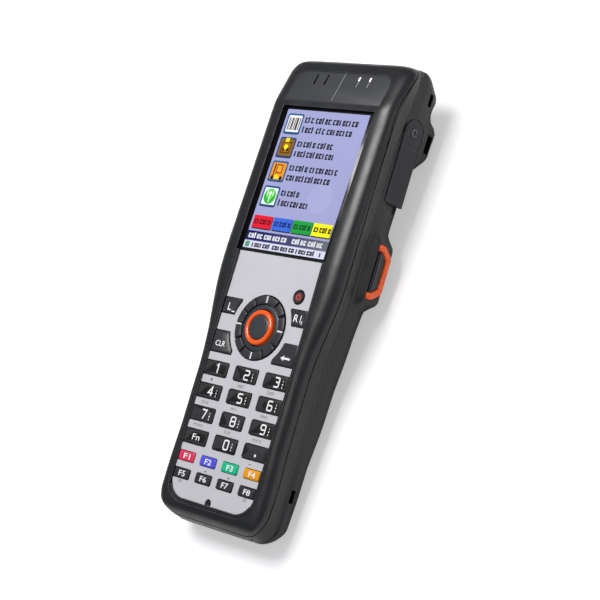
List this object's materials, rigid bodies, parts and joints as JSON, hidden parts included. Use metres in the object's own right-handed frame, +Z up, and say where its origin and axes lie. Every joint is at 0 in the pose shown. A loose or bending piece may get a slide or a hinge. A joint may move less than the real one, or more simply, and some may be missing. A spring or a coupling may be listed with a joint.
{
  "type": "barcode data terminal",
  "caption": "Bar-type handheld barcode terminal with a lit screen, a silver keypad, a round cursor ring, orange-trimmed side triggers and a scanner hump.",
  "frame": {"origin": "centre of the bounding box's bottom face, on the surface the terminal lies on", "axes": "+Y from the keypad end to the screen end, +Z up out of the screen side, +X to the right as the keypad is read; the terminal lies on its heel and hump, so its front slopes up towards +Y"},
  "size_m": [0.0722, 0.1982, 0.037],
  "materials": {
    "case": "satin charcoal, fine grain",
    "panel": "matte charcoal",
    "seal": "soft black",
    "light_guide": "clear white",
    "window": "clear with a black border",
    "scanner_glass": "dark red tint",
    "display": "lit screen in a black frame",
    "sheet": "satin silver",
    "mat": "grey silicone",
    "steel": "brushed",
    "board": "green solder mask",
    "module": "dark grey",
    "contact": "gold plated",
    "battery": "smooth wrap",
    "lock": "grey",
    "trigger": "satin dark grey",
    "trim": "orange",
    "key": "satin black with white figures",
    "ring": "dark grey",
    "key_red": "red",
    "key_blue": "blue",
    "key_green": "green",
    "key_amber": "amber",
    "flap": "soft dark grey"
  },
  "bodies": {
    "root": {"rear_case": "case", "front_cover": "case", "case_gasket": "seal", "top_panel": "panel", "light_guides": "light_guide", "display_window": "window", "display_module": "display", "key_sheet": "sheet", "keypad_mat": "mat", "snap_domes": "steel", "key_board": "board", "main_board": "board", "shield_cans": "steel", "scanner_module": "module", "scanner_window": "scanner_glass", "speaker": "module", "io_connector": "module", "jack_cover_tab": "flap", "jack_cover_screw": "steel", "case_screws": "steel", "battery_contacts": "contact", "trigger_switches": "module"},
    "battery_cover": {"battery_cover": "case", "battery_pack": "battery"},
    "cover_lock": {"cover_lock": "lock"},
    "jack_cover": {"jack_cover": "flap"},
    "trigger_right": {"trigger_right": "trigger", "trigger_trim_right": "trim"},
    "trigger_left": {"trigger_left": "trigger", "trigger_trim_left": "trim"},
    "cursor_pivot": {"cursor_pivot": "module"},
    "cursor_ring": {"cursor_ring": "ring"},
    "centre_key": {"centre_key": "trigger", "centre_ring": "trim"},
    "key_0": {"key_0": "key"},
    "key_1": {"key_1": "key"},
    "key_2": {"key_2": "key"},
    "key_3": {"key_3": "key"},
    "key_4": {"key_4": "key"},
    "key_5": {"key_5": "key"},
    "key_6": {"key_6": "key"},
    "key_7": {"key_7": "key"},
    "key_8": {"key_8": "key"},
    "key_9": {"key_9": "key"},
    "key_fn": {"key_fn": "key"},
    "key_point": {"key_point": "key"},
    "key_f1": {"key_f1": "key_red"},
    "key_f2": {"key_f2": "key_blue"},
    "key_f3": {"key_f3": "key_green"},
    "key_f4": {"key_f4": "key_amber"},
    "key_f5": {"key_f5": "key"},
    "key_f6": {"key_f6": "key"},
    "key_f7": {"key_f7": "key"},
    "key_f8": {"key_f8": "key"},
    "key_left": {"key_left": "key"},
    "key_right": {"key_right": "key"},
    "key_clear": {"key_clear": "key"},
    "key_enter": {"key_enter": "key"},
    "power_key": {"power_key": "key"}
  },
  "joints": [
    {"name": "battery_cover_lift", "type": "slide", "parent": "root", "child": "battery_cover", "axis": [0, 0.0661, -0.9978], "range_m": [0, 0.03]},
    {"name": "cover_lock_slide", "type": "slide", "parent": "battery_cover", "child": "cover_lock", "axis": [1, 0, 0], "range_m": [0, 0.004]},
    {"name": "jack_cover_hinge", "type": "hinge", "parent": "root", "child": "jack_cover", "pos_m": [0.03325, 0.06795, 0.01978], "axis": [0, -0.0985, 0.9951], "range_deg": [0, 100], "stiffness_Nm_per_rad": 0.001},
    {"name": "trigger_right_press", "type": "slide", "parent": "root", "child": "trigger_right", "axis": [-1, 0, 0], "range_m": [0, 0.0008], "stiffness_N_per_m": 3000},
    {"name": "trigger_left_press", "type": "slide", "parent": "root", "child": "trigger_left", "axis": [1, 0, 0], "range_m": [0, 0.0008], "stiffness_N_per_m": 3000},
    {"name": "cursor_rock_up_down", "type": "hinge", "parent": "root", "child": "cursor_pivot", "pos_m": [0, -0.01813, 0.02654], "axis": [1, 0, 0], "range_deg": [-1.2, 1.2], "stiffness_Nm_per_rad": 1},
    {"name": "cursor_rock_left_right", "type": "hinge", "parent": "cursor_pivot", "child": "cursor_ring", "pos_m": [0, -0.01813, 0.02654], "axis": [0, 0.9951, 0.0985], "range_deg": [-1.2, 1.2], "stiffness_Nm_per_rad": 1},
    {"name": "centre_key_press", "type": "slide", "parent": "root", "child": "centre_key", "axis": [0, 0.0985, -0.9951], "range_m": [0, 0.0006], "stiffness_N_per_m": 3000},
    {"name": "key_0_press", "type": "slide", "parent": "root", "child": "key_0", "axis": [0, 0.0985, -0.9951], "range_m": [0, 0.0005], "stiffness_N_per_m": 3000},
    {"name": "key_1_press", "type": "slide", "parent": "root", "child": "key_1", "axis": [0, 0.0985, -0.9951], "range_m": [0, 0.0005], "stiffness_N_per_m": 3000},
    {"name": "key_2_press", "type": "slide", "parent": "root", "child": "key_2", "axis": [0, 0.0985, -0.9951], "range_m": [0, 0.0005], "stiffness_N_per_m": 3000},
    {"name": "key_3_press", "type": "slide", "parent": "root", "child": "key_3", "axis": [0, 0.0985, -0.9951], "range_m": [0, 0.0005], "stiffness_N_per_m": 3000},
    {"name": "key_4_press", "type": "slide", "parent": "root", "child": "key_4", "axis": [0, 0.0985, -0.9951], "range_m": [0, 0.0005], "stiffness_N_per_m": 3000},
    {"name": "key_5_press", "type": "slide", "parent": "root", "child": "key_5", "axis": [0, 0.0985, -0.9951], "range_m": [0, 0.0005], "stiffness_N_per_m": 3000},
    {"name": "key_6_press", "type": "slide", "parent": "root", "child": "key_6", "axis": [0, 0.0985, -0.9951], "range_m": [0, 0.0005], "stiffness_N_per_m": 3000},
    {"name": "key_7_press", "type": "slide", "parent": "root", "child": "key_7", "axis": [0, 0.0985, -0.9951], "range_m": [0, 0.0005], "stiffness_N_per_m": 3000},
    {"name": "key_8_press", "type": "slide", "parent": "root", "child": "key_8", "axis": [0, 0.0985, -0.9951], "range_m": [0, 0.0005], "stiffness_N_per_m": 3000},
    {"name": "key_9_press", "type": "slide", "parent": "root", "child": "key_9", "axis": [0, 0.0985, -0.9951], "range_m": [0, 0.0005], "stiffness_N_per_m": 3000},
    {"name": "key_fn_press", "type": "slide", "parent": "root", "child": "key_fn", "axis": [0, 0.0985, -0.9951], "range_m": [0, 0.0005], "stiffness_N_per_m": 3000},
    {"name": "key_point_press", "type": "slide", "parent": "root", "child": "key_point", "axis": [0, 0.0985, -0.9951], "range_m": [0, 0.0005], "stiffness_N_per_m": 3000},
    {"name": "key_f1_press", "type": "slide", "parent": "root", "child": "key_f1", "axis": [0, 0.0985, -0.9951], "range_m": [0, 0.0005], "stiffness_N_per_m": 3000},
    {"name": "key_f2_press", "type": "slide", "parent": "root", "child": "key_f2", "axis": [0, 0.0985, -0.9951], "range_m": [0, 0.0005], "stiffness_N_per_m": 3000},
    {"name": "key_f3_press", "type": "slide", "parent": "root", "child": "key_f3", "axis": [0, 0.0985, -0.9951], "range_m": [0, 0.0005], "stiffness_N_per_m": 3000},
    {"name": "key_f4_press", "type": "slide", "parent": "root", "child": "key_f4", "axis": [0, 0.0985, -0.9951], "range_m": [0, 0.0005], "stiffness_N_per_m": 3000},
    {"name": "key_f5_press", "type": "slide", "parent": "root", "child": "key_f5", "axis": [0, 0.0985, -0.9951], "range_m": [0, 0.0005], "stiffness_N_per_m": 3000},
    {"name": "key_f6_press", "type": "slide", "parent": "root", "child": "key_f6", "axis": [0, 0.0985, -0.9951], "range_m": [0, 0.0005], "stiffness_N_per_m": 3000},
    {"name": "key_f7_press", "type": "slide", "parent": "root", "child": "key_f7", "axis": [0, 0.0985, -0.9951], "range_m": [0, 0.0005], "stiffness_N_per_m": 3000},
    {"name": "key_f8_press", "type": "slide", "parent": "root", "child": "key_f8", "axis": [0, 0.0985, -0.9951], "range_m": [0, 0.0005], "stiffness_N_per_m": 3000},
    {"name": "key_left_press", "type": "slide", "parent": "root", "child": "key_left", "axis": [0, 0.0985, -0.9951], "range_m": [0, 0.0005], "stiffness_N_per_m": 3000},
    {"name": "key_right_press", "type": "slide", "parent": "root", "child": "key_right", "axis": [0, 0.0985, -0.9951], "range_m": [0, 0.0005], "stiffness_N_per_m": 3000},
    {"name": "key_clear_press", "type": "slide", "parent": "root", "child": "key_clear", "axis": [0, 0.0985, -0.9951], "range_m": [0, 0.0005], "stiffness_N_per_m": 3000},
    {"name": "key_enter_press", "type": "slide", "parent": "root", "child": "key_enter", "axis": [0, 0.0985, -0.9951], "range_m": [0, 0.0005], "stiffness_N_per_m": 3000},
    {"name": "power_key_press", "type": "slide", "parent": "root", "child": "power_key", "axis": [0, 0.0985, -0.9951], "range_m": [0, 0.0005], "stiffness_N_per_m": 3000}
  ]
}
